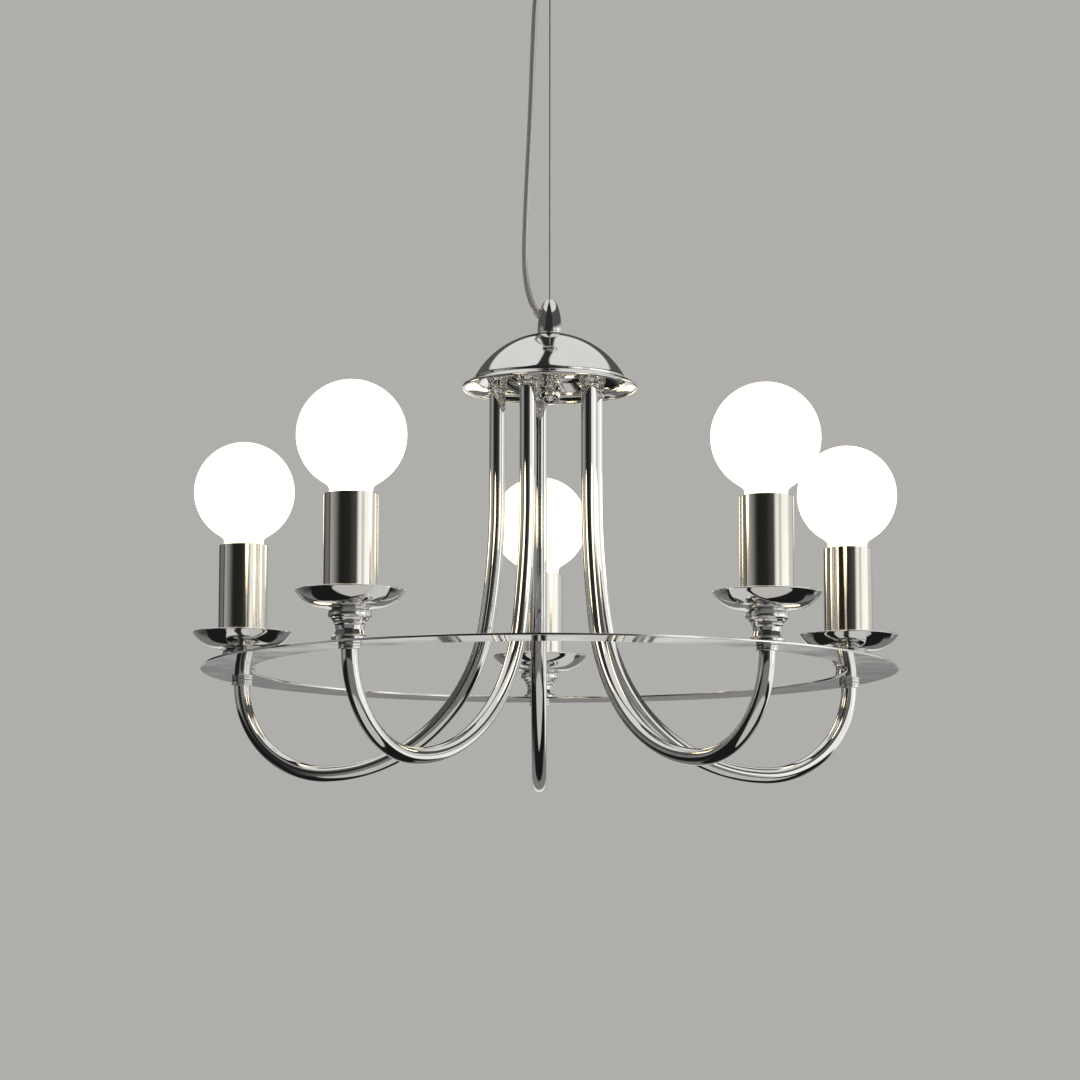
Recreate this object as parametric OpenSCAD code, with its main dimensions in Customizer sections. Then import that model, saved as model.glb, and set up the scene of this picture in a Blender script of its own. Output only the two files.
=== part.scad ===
// Five-arm chandelier hung on one steel wire, with a slack supply cord beside it.
// Origin: centre of the ceiling face, +Z up, so everything hangs below z = 0.
// Heights of the pendant are given above the underside of the flat ring.

/* [Overall] */
// Drop from the ceiling to the underside of the ring
ring_drop = 710; // [600:2:900]
// Radius of the circle of lamps, along each arm
lamp_circle_r = 302; // [250:1:364]
// Sideways offset of each arm from the chandelier's centre line
arm_offset = 10; // [0:0.5:14]
// Radius of the circle of arm roots, along each arm
root_circle_r = 48; // [46:0.5:52]
// Height of the hub plate's underside above the ring
hub_z = 280; // [250:1:336]

/* [Arms] */
// Outside diameter of the arm tube
arm_d = 15; // [13.5:0.5:18]
// Wall of the threaded insert between the arm tube and its threaded tube
insert_t = 1; // [0.8:0.1:1.5]
// Depth of the tube's centre line below the ring at its lowest point
belly_depth = 90; // [75:1:108]
// Straight length between the outer hook's bend and the ring
hook_leg_l = 4; // [2:0.5:10]
// Bend radius where the upper leg starts to lean out
lean_r = 700; // [500:10:900]
// Angle through which the upper leg leans out
lean_angle = 10; // [6:1:14]
// Length of the threaded insert brazed into each end of an arm
insert_l = 8; // [6:0.5:10]

/* [Ring] */
// Distance from the circle of lamps out to the ring's edge
ring_edge = 18; // [12:1:24]
// Width of the flat ring
ring_w = 47; // [36:1:60]
// Thickness of the flat ring
ring_t = 2; // [1.5:0.5:4]

/* [Turned collars] */
// Wall of the turned collars round an arm tube
collar_t = 2.5; // [2:0.1:4]
// Height of the collar under the ring
ring_collar_h = 5; // [3:0.5:8]
// Height of the collar at an arm root
root_collar_h = 19; // [16:0.5:26]
// Thickness of the root collar's top wall
root_collar_top = 2; // [1.5:0.5:3]

/* [Lamp stack] */
// Diameter of the vase's foot
vase_foot_d = 32; // [28:0.5:38]
// Diameter of the vase's neck
vase_neck_d = 26.5; // [22:0.5:28]
// Diameter of the vase's top collar
vase_top_d = 38; // [34:0.5:42]
// Height of the vase
vase_h = 27.8; // [25:0.2:34]
// Diameter of the dish
dish_d = 94; // [86:1:104]
// Depth of the dish
dish_h = 14; // [12:0.2:18]
// Flat seat in the dish beyond the candle sleeve
dish_floor_edge = 1.6; // [0.5:0.1:5]
// Radius of the flat under the dish, where it sits on the vase
dish_foot_r = 20; // [18:0.5:24]
// Wall of the dish
dish_t = 1.2; // [1:0.1:2]
// Outside diameter of the candle sleeve
sleeve_d = 46.8; // [44:0.1:57]
// Wall of the candle sleeve
sleeve_t = 1.2; // [1:0.1:1.6]
// Length of the candle sleeve
sleeve_h = 97.2; // [90:0.2:110]

/* [Lampholder] */
// Gap between the lampholder and the sleeve
holder_gap = 2.7; // [1:0.1:4]
// Height of the lampholder
holder_h = 62; // [58:1:66]
// Distance from the sleeve's rim down to the lampholder
holder_drop = 18; // [14:0.5:20]
// Gap between the lamp's cap and the screw shell
shell_gap = 0.4; // [0.3:0.05:0.6]
// Wall of the screw shell
shell_t = 0.5; // [0.4:0.1:0.8]
// Distance from the screw shell's rim down to the lamp's foot
lamp_seat = 19; // [17:0.5:21]

/* [Globe lamp] */
// Diameter of the glass globe
globe_d = 95; // [80:1:125]
// Length of the lamp below its globe
lamp_neck_l = 43; // [40:0.5:50]
// Diameter of the lamp's screw cap
lamp_cap_d = 26.4; // [26:0.1:26.6]
// Height of the lamp's screw cap
lamp_cap_h = 27; // [25:0.5:29]
// Gap between the glass neck and the sleeve
lamp_neck_gap = 2.2; // [1.5:0.1:4]
// Wall of the glass
glass_t = 1; // [0.8:0.1:1.4]

/* [Dome and cap] */
// Diameter of the dome's brim
brim_d = 164.5; // [156:0.5:198]
// Width of the flared brim
brim_w = 11.25; // [8:0.25:14]
// Height of the dome from its brim to its top
dome_h = 52.5; // [48:0.5:60]
// Height of the brim below the crease
brim_h = 9.4; // [6:0.2:11]
// Height from the brim up to the hub plate's underside
hub_in_dome = 16; // [14:0.5:18]
// Wall of the dome
dome_t = 1.2; // [1:0.1:1.6]
// Diameter of the bullet cap
cap_d = 23.5; // [22:0.5:28]
// Height of the bullet cap
cap_h = 32; // [30:0.5:36]
// Height that the cap's outline would reach if it closed to a point
cap_ogive_h = 34.5; // [34:0.5:40]
// Distance from the circle of arm roots out to the hub plate's edge
hub_edge = 11; // [10:0.5:13]
// Thickness of the hub plate
hub_t = 4; // [3:0.5:5]
// Diameter of the finial's ball
ball_d = 22.4; // [18:0.2:26]
// Distance from the hub plate down to the ball's centre
ball_drop = 19; // [17:0.5:24]

/* [Suspension] */
// Diameter of the steel wire
wire_d = 1.5; // [1:0.1:2]
// Diameter of the supply cord
cord_d = 5.5; // [5:0.1:6]
// Outside diameter of the threaded tubes
nipple_d = 10; // [9:0.1:12]
// Bore of the threaded tubes
nipple_bore_d = 7; // [5:0.1:7.4]
// Width across the flats of the hexagon nuts
nut_af = 14; // [13:0.5:15]
// Thickness of the hexagon nuts
nut_h = 5; // [4:0.5:6]

/* [Ceiling fitting] */
// Diameter of the ceiling cup
rose_d = 105; // [100:1:120]
// Height of the ceiling cup
rose_h = 48; // [46:1:54]
// Wall of the ceiling cup
rose_t = 1.2; // [1:0.1:1.6]
// Spacing of the two fixing holes
fixing_spacing = 60; // [54:1:66]
// Diameter of the two fixing holes
fixing_d = 5; // [4:0.5:6]
// Bore of the outlet bush
outlet_bore_d = 32; // [32:0.5:36]
// Diameter of the hanger's pins
pin_d = 4; // [3:0.5:5]
// Depth of the upper pin below the ceiling
upper_pin_drop = 32; // [30:1:34]
// Distance between the two pins
pin_pitch = 12; // [11:0.5:14]

/* [Hidden] */
ARMS = [1:5];
$fn = 64;

arm_step = 360 / 5;
first_arm_azimuth = 90;

// Clearances
push_gap = 0.05;      // a tube or stud in its hole
running_gap = 0.05;   // a pin in its bore, on the radius
free_gap = 0.3;       // two pieces that move past each other
thread_gap = 0.02;    // a threaded tube in its thread, on the radius
over = 1;             // how far a cut runs past a face
slip_step = 0.1;      // how much thinner the upper leg is where it slips into the large bend
slip_l = 1;           // how far it slips in

nipple_r = nipple_d / 2;
nipple_hole_r = nipple_r + 2 * push_gap;
arm_bore_d = nipple_d + 2 * insert_t;
collar_r = arm_d / 2 + collar_t;
collar_hole_r = arm_d / 2 + push_gap;
ring_d = 2 * (lamp_circle_r + ring_edge);
hub_d = 2 * (root_circle_r + hub_edge);

// Arm path: straight leg, slight lean, large bend to the lowest point, then the hook
hook_r = belly_depth - hook_leg_l;
belly_r = lamp_circle_r - hook_r;
lean_shift = lean_r * (1 - cos(lean_angle));
sweep_r = (belly_r - root_circle_r - lean_shift) / cos(lean_angle);
lean_z = sweep_r * (1 - sin(lean_angle)) + lean_r * sin(lean_angle) - belly_depth;
sweep_z = sweep_r - belly_depth;
hook_top_z = -hook_leg_l;
arm_end_z = -push_gap;
arm_top_z = hub_z - root_collar_top - push_gap;

// Lamp stack, upwards from the ring's top face
vase_z = ring_t;
vase_foot_h = 6.5;
vase_neck_h = 10;
vase_step_h = 5.5;
dish_z = vase_z + vase_h;
floor_z = dish_z + dish_t;
dish_floor_r = sleeve_d / 2 + dish_floor_edge;
dish_run = dish_d / 2 - dish_foot_r;
dish_curve_r = (dish_run * dish_run + dish_h * dish_h) / (2 * dish_h);
dish_curve_end = asin(dish_run / dish_curve_r);
sleeve_r = sleeve_d / 2;
sleeve_top_z = floor_z + sleeve_h;
sleeve_bore_r = sleeve_r - sleeve_t;
holder_r = sleeve_bore_r - holder_gap;
holder_top_z = sleeve_top_z - holder_drop;
holder_z = holder_top_z - holder_h;
holder_foot_inset = 6;
holder_foot_h = 12;
holder_wall = 4;
holder_chamber_foot = 8;
holder_thread_l = 10;
holder_floor_t = 4;
shell_bore_r = lamp_cap_d / 2 + shell_gap;
shell_r = shell_bore_r + shell_t;
holder_inner_r = shell_r + 0.5;
shell_top_z = holder_top_z - 2;
lamp_base_z = shell_top_z - lamp_seat;
lead_r = 2.2;
lead_end = 4;
lamp_contact_h = 2;
lamp_contact_r = 4.5;
contact_top_z = lamp_base_z - free_gap;
contact_h = 1.5;
holder_cavity_z = contact_top_z - contact_h;
holder_cup_z = holder_cavity_z - holder_floor_t;
globe_r = globe_d / 2;
globe_z = lamp_base_z + lamp_neck_l + globe_r;
neck_r = sleeve_bore_r - lamp_neck_gap;
glass_base_z = lamp_base_z + lamp_cap_h;
glass_base_r = lamp_cap_d / 2 - 0.4;
glass_taper_r = glass_base_r + 2;
glass_taper_z = glass_base_z + 8;
lamp_cap_t = 0.5;

// Dome, cap and hub
brim_z = hub_z - hub_in_dome;
dome_top_z = brim_z + dome_h;
crease_d = brim_d - 2 * brim_w;
crease_z = brim_z + brim_h;
dome_rise = dome_top_z - crease_z;
dome_r = (crease_d * crease_d / 4 + dome_rise * dome_rise) / (2 * dome_rise);
dome_centre_z = dome_top_z - dome_r;
lip_r = 1.5;
cap_r = cap_d / 2;
cap_thread_h = 12;
cap_cavity_r = 7;
cap_cavity_h = 12;
cap_base_z = dome_centre_z + sqrt(dome_r * dome_r - nipple_hole_r * nipple_hole_r);
cap_ogive_end = asin(cap_h / cap_ogive_h);
hub_top_z = hub_z + hub_t;
ball_z = hub_z - ball_drop;
finial_thread_l = 11;
finial_flange_r = ball_d / 2 + 3;
finial_waist_r = nipple_r + 2.5;
finial_bead_h = 1.6;
finial_flange_h = 3;
finial_cone_h = 2;
stem_base_z = hub_z - finial_thread_l;
stem_top_z = cap_base_z + cap_thread_h;
stem_nut_z = dome_centre_z + sqrt(pow(dome_r - dome_t, 2) - pow(nut_af / sqrt(3), 2)) - nut_h;

// Wire and the cord's entry into the cap
wire_r = wire_d / 2;
wire_hole_r = wire_r + push_gap;
stop_r = 2.2;
stop_h = 4;
stop_top_z = cap_base_z + cap_thread_h + cap_cavity_h;
cord_r = cord_d / 2;
cord_entry_h = 18.7;    // height of the entry above the cap's foot
cord_entry_out = 0.13;  // how far the bush's middle stands out of the cap
cord_entry_x = -cap_r * sqrt(1 - pow(cord_entry_h / cap_ogive_h, 2)) - cord_entry_out;
cord_entry_z = cap_base_z + cord_entry_h;
cord_entry_tilt = 35;
bush_wall = 0.8;
bush_flange_r = cord_r + 1.6;
bush_flange_t = 1.2;
bush_l = 5;

// Hanger: bracket ears, link, swivel eye, ball end of the wire
pin_r = pin_d / 2;
ear_r = pin_r + 2.5;
ear_t = 2.5;
tongue_w = 6.4;
ear_in = tongue_w / 2 + free_gap;
ear_out = ear_in + ear_t;
upper_pin_z = -upper_pin_drop;
lower_pin_z = upper_pin_z - pin_pitch;
eye_base_t = 4;
eye_base_z = lower_pin_z - ear_r - 9.5;
pin_head_r = pin_r + 1;
pin_head_t = 1;
ball_end_r = 3.2;
ball_end_h = 2.8;
ball_neck_r = 2;
barrel_r = 3;
barrel_l = 12;
barrel_top_z = eye_base_z - free_gap;
ball_end_z = eye_base_z + eye_base_t + push_gap;
wire_top_z = barrel_top_z - 2;

// Ceiling cup and bracket
plate_t = 2;
plate_r = rose_d / 2 - rose_t - 1.3;
tab_w = 12;
tab_h = 12;
tab_t = 2;
tab_reach = (rose_d / 2 - rose_t) * sqrt(1 - pow((plate_t + tab_h) / (rose_h - rose_t), 2));
tab_out_y = sqrt(tab_reach * tab_reach - tab_w * tab_w / 4) - free_gap;
cup_screw_z = -8;
cup_screw_r = 2;
cup_screw_head_r = 3.5;
cup_screw_head_t = 2.2;
cup_screw_grip = 5;     // how far a screw reaches in past its tab's outer face
terminal_hole_d = 4;
junction_size = [18, 24, 11];
junction_x = 13;
supply_size = [32, 14, 12];
supply_y = -28;
cable_hole_r = 6;
cable_hole_y = 26;
outlet_r = outlet_bore_d / 2;
outlet_wall = 2;
outlet_flange = 3;
outlet_hole_r = outlet_r + outlet_wall + push_gap;
outlet_seat_z = -rose_h * sqrt(1 - pow(2 * outlet_hole_r / rose_d, 2));
outlet_flange_t = 2.5;
outlet_inside_l = 6;

// Supply cord: points chosen by hand, from the cap up into the ceiling cup
cord_route = [
  [-8, 0, 332], [-10, 0, 335], [-13, 0, 339.5], [-16, 0, 344.5], [-18.5, 0, 351], [-20.5, 0, 358.5],
  [-22, 0, 368], [-23, 0, 378], [-23.4, 0, 390], [-23.2, 0, 405], [-22.7, 0, 422], [-22, 0, 440],
  [-21.2, 0, 459], [-20.3, 0, 478], [-19.3, 0, 498], [-18.4, 0, 518], [-17.6, 0, 538],
  [-16.9, 0, 558], [-16.2, 0, 578], [-15.5, 0, 596], [-14.8, 0, 614], [-14, 0, 630],
  [-12.8, 0, 642], [-11.4, 0, 652], [-10.4, 0, 659], [-10, 0, 664]];
cord_sides = 12;

// Places a child at arm i: x runs out along the arm, z = 0 is the ring's underside
module at_arm(i) {
  rotate([0, 0, first_arm_azimuth + arm_step * (i - 1)])
    translate([0, arm_offset, -ring_drop])
      children();
}

module at_lamp(i) {
  at_arm(i) translate([lamp_circle_r, 0, 0]) children();
}

module at_root(i) {
  at_arm(i) translate([root_circle_r, 0, 0]) children();
}

module at_hub() {
  translate([0, 0, -ring_drop]) children();
}

// Points along a circular or elliptical arc about [cx, cz]
function arc(cx, cz, rx, rz, from, to, steps) =
  [for (k = [0:steps]) let (a = from + (to - from) * k / steps) [cx + rx * cos(a), cz + rz * sin(a)]];

function reversed(points) = [for (k = [len(points) - 1:-1:0]) points[k]];

module turned(points) {
  rotate_extrude() polygon(points);
}

module tube(outer_r, inner_r, h) {
  difference() {
    cylinder(r = outer_r, h = h);
    translate([0, 0, -over]) cylinder(r = inner_r, h = h + 2 * over);
  }
}

module nut() {
  difference() {
    cylinder(d = nut_af * 2 / sqrt(3), h = nut_h, $fn = 6);
    translate([0, 0, -over]) cylinder(r = nipple_r + thread_gap, h = nut_h + 2 * over);
  }
}

module nipple(from_z, to_z) {
  translate([0, 0, from_z]) tube(nipple_r, nipple_bore_d / 2, to_z - from_z);
}

// Bend in the arm's plane about [x, z], from one angle through another
module bend(x, z, bend_r, from, sweep, tube_r) {
  translate([x, 0, z]) rotate([90, 0, 0])
    rotate_extrude(angle = sweep, start = from) translate([bend_r, 0]) circle(r = tube_r);
}

// The arm's whole path as a round bar, with its ends at the given heights
module arm_bar(bar_r, top_z, end_z) {
  leg_r = bar_r - slip_step;
  slip_angle = slip_l / lean_r * 180 / PI;
  translate([root_circle_r, 0, lean_z]) cylinder(r = leg_r, h = top_z - lean_z);
  bend(root_circle_r + lean_r, lean_z, lean_r, 180, lean_angle + slip_angle, leg_r);
  bend(belly_r, sweep_z, sweep_r, 180 + lean_angle, 90 - lean_angle, bar_r);
  bend(belly_r, hook_top_z, hook_r, 270, 90, bar_r);
  if (end_z > hook_top_z)
    translate([lamp_circle_r, 0, hook_top_z]) cylinder(r = bar_r, h = end_z - hook_top_z);
}

module arm_insert(z) {
  translate([0, 0, z]) tube(arm_bore_d / 2 + push_gap, nipple_r + thread_gap, insert_l);
}

module arm(i) {
  color("gainsboro") at_arm(i) {
    difference() {
      arm_bar(arm_d / 2, arm_top_z, arm_end_z);
      arm_bar(arm_bore_d / 2, arm_top_z + over, arm_end_z + over);
      translate([lamp_circle_r, 0, arm_end_z]) cylinder(r = arm_d, h = 2 * over);
    }
    translate([root_circle_r, 0, 0]) arm_insert(arm_top_z - insert_l);
  }
}

module ring() {
  color("gainsboro") difference() {
    at_hub() tube(ring_d / 2, ring_d / 2 - ring_w, ring_t);
    for (i = ARMS) at_lamp(i) translate([0, 0, -over]) cylinder(r = nipple_hole_r, h = ring_t + 2 * over);
  }
}

module ring_collars() {
  color("silver") for (i = ARMS) at_lamp(i)
    translate([0, 0, -ring_collar_h]) tube(collar_r, collar_hole_r, ring_collar_h);
}

// Turned collar with a waist between two beads
module root_collars() {
  r = collar_r;
  bead = 2;
  edge = 0.4;
  slope_h = 0.6;
  waist_r = r - collar_t / 2;
  color("silver") for (i = ARMS) at_root(i) translate([0, 0, hub_z - root_collar_h]) turned([
    [collar_hole_r, 0], [r - edge, 0], [r, bead / 2], [r - edge, bead], [waist_r, bead + slope_h],
    [waist_r, root_collar_h - 3 * bead], [r, root_collar_h - 2 * bead], [r, root_collar_h],
    [nipple_hole_r, root_collar_h], [nipple_hole_r, root_collar_h - root_collar_top],
    [collar_hole_r, root_collar_h - root_collar_top]]);
}

module threaded_nipples() {
  color("goldenrod") for (i = ARMS) {
    at_root(i) nipple(arm_top_z - insert_l, hub_top_z + nut_h);
    at_lamp(i) nipple(arm_end_z - insert_l, holder_z + holder_thread_l);
  }
}

module hexagon_nuts() {
  color("silver") {
    for (i = ARMS) {
      at_root(i) translate([0, 0, hub_top_z]) nut();
      at_lamp(i) translate([0, 0, floor_z]) nut();
    }
    at_hub() translate([0, 0, hub_top_z]) nut();
    at_hub() translate([0, 0, stem_nut_z]) nut();
  }
}

// Turned vase: foot, neck, stepped shoulder and ribbed top collar
module vase(i) {
  foot_r = vase_foot_d / 2;
  neck_w = vase_neck_d / 2;
  top_r = vase_top_d / 2;
  step_z = vase_foot_h + vase_neck_h;
  collar_z = step_z + vase_step_h;
  collar_h = vase_h - collar_z;
  groove = 0.8;
  color("gainsboro") at_lamp(i) translate([0, 0, vase_z]) turned([
    [nipple_hole_r, 0], [foot_r, 0], [foot_r, vase_foot_h - groove], [foot_r - groove, vase_foot_h],
    [neck_w, vase_foot_h], [neck_w, step_z], [foot_r - groove, step_z],
    [neck_w + groove, collar_z], [top_r - 2 * groove, collar_z], [top_r, collar_z + collar_h / 4],
    [top_r, collar_z + collar_h / 2], [top_r - groove, collar_z + collar_h / 2 + groove / 2],
    [top_r, collar_z + collar_h / 2 + groove], [top_r, vase_h - groove], [top_r - groove, vase_h],
    [nipple_hole_r, vase_h]]);
}

// Shallow spun dish: flat foot, round side, thin wall and a flat seat for the sleeve
module dish(i) {
  centre_z = dish_curve_r;
  outer = arc(dish_foot_r, centre_z, dish_curve_r, dish_curve_r, -90, dish_curve_end - 90, 8);
  inner_r = dish_curve_r - dish_t;
  seat_angle = asin((dish_floor_r - dish_foot_r) / inner_r);
  inner = arc(dish_foot_r, centre_z, inner_r, inner_r, seat_angle - 90, dish_curve_end - 90, 8);
  color("gainsboro") at_lamp(i) translate([0, 0, dish_z])
    turned(concat([[nipple_hole_r, 0]], outer, reversed(inner),
                  [[dish_floor_r, dish_t], [nipple_hole_r, dish_t]]));
}

module candle_sleeve(i) {
  color("darkgray") at_lamp(i) translate([0, 0, floor_z]) tube(sleeve_r, sleeve_bore_r, sleeve_h);
}

// Lampholder: threaded foot, thick floor and a round cavity for the screw shell
module lampholders() {
  r = holder_r;
  thread_r = nipple_r + thread_gap;
  chamber_r = r - holder_wall;
  chamber_z = holder_z + holder_thread_l;
  color("ivory") for (i = ARMS) at_lamp(i) turned([
    [thread_r, holder_z], [r - holder_foot_inset, holder_z], [r, holder_z + holder_foot_h], [r, holder_top_z],
    [holder_inner_r, holder_top_z], [holder_inner_r, holder_cavity_z], [lamp_contact_r, holder_cavity_z],
    [lamp_contact_r, holder_cup_z], [chamber_r, holder_cup_z], [chamber_r, chamber_z + holder_chamber_foot],
    [thread_r, chamber_z]]);
}

module screw_shells() {
  color("gold") for (i = ARMS) at_lamp(i) translate([0, 0, holder_cavity_z])
    tube(shell_r, shell_bore_r, shell_top_z - holder_cavity_z);
}

module centre_contacts() {
  color("goldenrod") for (i = ARMS) at_lamp(i) translate([0, 0, holder_cup_z])
    cylinder(r = lamp_contact_r - push_gap, h = contact_top_z - holder_cup_z);
}

// Globe with its neck: sphere outline down to the neck, then a straight run and a taper into the cap
module lamp_glass(i) {
  neck_angle = acos(neck_r / globe_r);
  neck_z = globe_z - globe_r * sin(neck_angle);
  straight_z = min(neck_z - glass_t, sleeve_top_z);
  in_r = globe_r - glass_t;
  in_neck_r = neck_r - glass_t;
  in_angle = acos(in_neck_r / in_r);
  color([1, 0.98, 0.9, 0.9]) at_lamp(i) turned(concat(
    [[0, globe_z + globe_r]], reversed(arc(0, globe_z, globe_r, globe_r, -neck_angle, 86, 24)),
    [[neck_r, straight_z], [glass_taper_r, glass_taper_z], [glass_base_r, glass_base_z],
     [glass_base_r - glass_t, glass_base_z], [glass_taper_r - glass_t, glass_taper_z],
     [in_neck_r, straight_z]],
    arc(0, globe_z, in_r, in_r, -in_angle, 86, 24), [[0, globe_z + in_r]]));
}

// Screw cap: closed thin cup with the insulated centre contact below it
module lamp_cap(i) {
  r = lamp_cap_d / 2;
  wall_z = lamp_base_z + lamp_contact_h + 3;
  color("silver") at_lamp(i) turned([
    [0, lamp_base_z], [lamp_contact_r, lamp_base_z], [lamp_contact_r + 1, lamp_base_z + lamp_contact_h],
    [r, wall_z], [r, glass_base_z], [r - lamp_cap_t, glass_base_z], [r - lamp_cap_t, wall_z + 1],
    [0, lamp_base_z + lamp_contact_h + 1]]);
}

// Lead inside each arm, from above the hub plate to inside the lampholder
module arm_leads() {
  color("white") for (i = ARMS) at_arm(i)
    arm_bar(lead_r, hub_top_z + nut_h + lead_end, holder_z + holder_thread_l + lead_end);
}

module hub_plate() {
  color("silver") difference() {
    at_hub() translate([0, 0, hub_z]) tube(hub_d / 2, nipple_hole_r, hub_t);
    for (i = ARMS) at_root(i) translate([0, 0, hub_z - over])
      cylinder(r = nipple_hole_r, h = hub_t + 2 * over);
  }
}

module stem() {
  color("goldenrod") at_hub() nipple(stem_base_z, stem_top_z);
}

// Finial: flange, waist, bead and a ball, threaded onto the stem
module finial() {
  r = ball_d / 2;
  bead_r = r * 0.74;
  bead_z = ball_z + r * 0.75;
  outline = concat(
    [[0, ball_z - r]], arc(0, ball_z, r, r, -84, 42, 18),
    [[bead_r, bead_z], [r, bead_z], [r, bead_z + finial_bead_h],
     [finial_waist_r, bead_z + 1.5 * finial_bead_h],
     [finial_waist_r, hub_z - finial_flange_h - finial_cone_h], [finial_flange_r, hub_z - finial_flange_h],
     [finial_flange_r, hub_z]]);
  color("gainsboro") at_hub() difference() {
    turned(concat(outline, [[0, hub_z]]));
    translate([0, 0, stem_base_z - push_gap]) cylinder(r = nipple_r + thread_gap, h = finial_thread_l + over);
  }
}

module junction_block() {
  size = junction_size;
  color("ivory") at_hub() translate([junction_x, -size[1] / 2, hub_top_z]) difference() {
    cube(size);
    for (k = [0:2]) translate([-over, size[1] * (k + 0.5) / 3, size[2] / 2])
      rotate([0, 90, 0]) cylinder(d = terminal_hole_d, h = size[0] + 2 * over);
  }
}

// Spun dome with a flared brim and a rolled lip
module dome() {
  hole_angle = acos(nipple_hole_r / dome_r);
  crease_angle = acos(crease_d / 2 / dome_r);
  in_r = dome_r - dome_t;
  brim_r = brim_d / 2 - lip_r;
  flare_r = brim_r - crease_d / 2;
  outer = arc(0, dome_centre_z, dome_r, dome_r, crease_angle, hole_angle, 20);
  inner = arc(0, dome_centre_z, in_r, in_r, crease_angle, acos(nipple_hole_r / in_r), 20);
  flare = arc(crease_d / 2, brim_z + lip_r, flare_r, brim_h - lip_r, 90, 0, 6);
  in_flare = [for (p = flare) [p[0] - dome_t * 0.8, p[1] - dome_t]];
  color("gainsboro") at_hub() {
    turned(concat(reversed(outer), flare, reversed(in_flare), inner));
    translate([0, 0, brim_z + lip_r]) rotate_extrude() translate([brim_r, 0]) circle(r = lip_r, $fn = 24);
  }
}

// Bullet cap: threaded foot, cavity for the wire's end, side hole and flat seat for the cord's bush
module bullet_cap() {
  outline = arc(0, cap_base_z, cap_r, cap_ogive_h, 0, cap_ogive_end, 14);
  tip_z = cap_base_z + cap_h;
  cavity_z = cap_base_z + cap_thread_h;
  color("gainsboro") at_hub() difference() {
    turned(concat(
      [[nipple_r + thread_gap, cap_base_z]], outline,
      [[wire_hole_r, tip_z], [wire_hole_r, stop_top_z], [cap_cavity_r, stop_top_z],
       [cap_cavity_r, cavity_z], [nipple_r + thread_gap, cavity_z]]));
    at_cord_entry() {
      translate([0, 0, -2 * bush_l]) cylinder(r = cord_r + bush_wall + push_gap, h = 3 * bush_l);
      translate([0, 0, bush_l / 2 - push_gap]) cylinder(r = bush_flange_r + push_gap, h = 2 * bush_l);
    }
  }
}

// Frame at the point where the cord enters the cap, z outward along the cord
module at_cord_entry() {
  translate([cord_entry_x, 0, cord_entry_z]) rotate([0, -cord_entry_tilt, 0]) children();
}

module cord_bush() {
  color("white") at_hub() at_cord_entry() translate([0, 0, -bush_l / 2]) {
    tube(cord_r + bush_wall, cord_r + push_gap, bush_l);
    translate([0, 0, bush_l]) tube(bush_flange_r, cord_r + push_gap, bush_flange_t);
  }
}

// Swaged ends of the wire: the stop in the cap and the ball end in the swivel eye
module wire_ends() {
  color("silver") {
    at_hub() translate([0, 0, stop_top_z - stop_h]) tube(stop_r, wire_hole_r, stop_h);
    difference() {
      union() {
        translate([0, 0, ball_end_z]) cylinder(r = ball_end_r, h = ball_end_h);
        translate([0, 0, barrel_top_z - over]) cylinder(r = ball_neck_r, h = ball_end_z - barrel_top_z + over);
        translate([0, 0, barrel_top_z - barrel_l]) cylinder(r = barrel_r, h = barrel_l);
      }
      translate([0, 0, barrel_top_z - barrel_l - over])
        cylinder(r = wire_hole_r, h = wire_top_z - barrel_top_z + barrel_l + over + push_gap);
    }
  }
}

module suspension_wire() {
  foot_z = stop_top_z - stop_h - ring_drop;
  color("silver") translate([0, 0, foot_z]) cylinder(r = wire_r, h = wire_top_z - foot_z, $fn = 24);
}

// Cord: rings of points swept along the route, square to it at every point
function unit(v) = v / norm(v);
function cord_tangent(k) =
  unit(cord_route[min(k + 1, len(cord_route) - 1)] - cord_route[max(k - 1, 0)]);
function cord_ring(k) =
  let (side = [0, 1, 0], up = cross(cord_tangent(k), side))
  [for (s = [0:cord_sides - 1]) let (a = 360 * s / cord_sides)
    cord_route[k] + cord_r * (cos(a) * side + sin(a) * up)];

module power_cord() {
  last = len(cord_route) - 1;
  points = [for (k = [0:last]) each cord_ring(k)];
  walls = [for (k = [0:last - 1], s = [0:cord_sides - 1]) let (t = (s + 1) % cord_sides)
    [k * cord_sides + s, k * cord_sides + t, (k + 1) * cord_sides + t, (k + 1) * cord_sides + s]];
  first_cap = [for (s = [cord_sides - 1:-1:0]) s];
  last_cap = [for (s = [0:cord_sides - 1]) last * cord_sides + s];
  color("whitesmoke") at_hub() polyhedron(points, concat([first_cap], walls, [last_cap]), convexity = 4);
}

// Hinge ear pair: two cheeks on the x axis, joined to whatever is above or below
module ears(pin_z, root_z) {
  for (side = [-1, 1]) difference() {
    translate([side > 0 ? ear_in : -ear_out, 0, 0]) union() {
      translate([0, 0, pin_z]) rotate([0, 90, 0]) cylinder(r = ear_r, h = ear_t);
      translate([0, -ear_r, min(pin_z, root_z)]) cube([ear_t, 2 * ear_r, abs(root_z - pin_z)]);
    }
    translate([-ear_out - over, 0, pin_z]) rotate([0, 90, 0]) cylinder(r = pin_r, h = 2 * (ear_out + over));
  }
}

module hinge_pin(pin_z) {
  color("silver") translate([-ear_out, 0, pin_z]) rotate([0, 90, 0]) {
    cylinder(r = pin_r, h = 2 * ear_out);
    translate([0, 0, -pin_head_t]) cylinder(r = pin_head_r, h = pin_head_t);
    translate([0, 0, 2 * ear_out]) cylinder(r = pin_head_r, h = pin_head_t);
  }
}

module upper_pin() {
  hinge_pin(upper_pin_z);
}

module lower_pin() {
  rotate([0, 0, 90]) hinge_pin(lower_pin_z);
}

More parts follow.
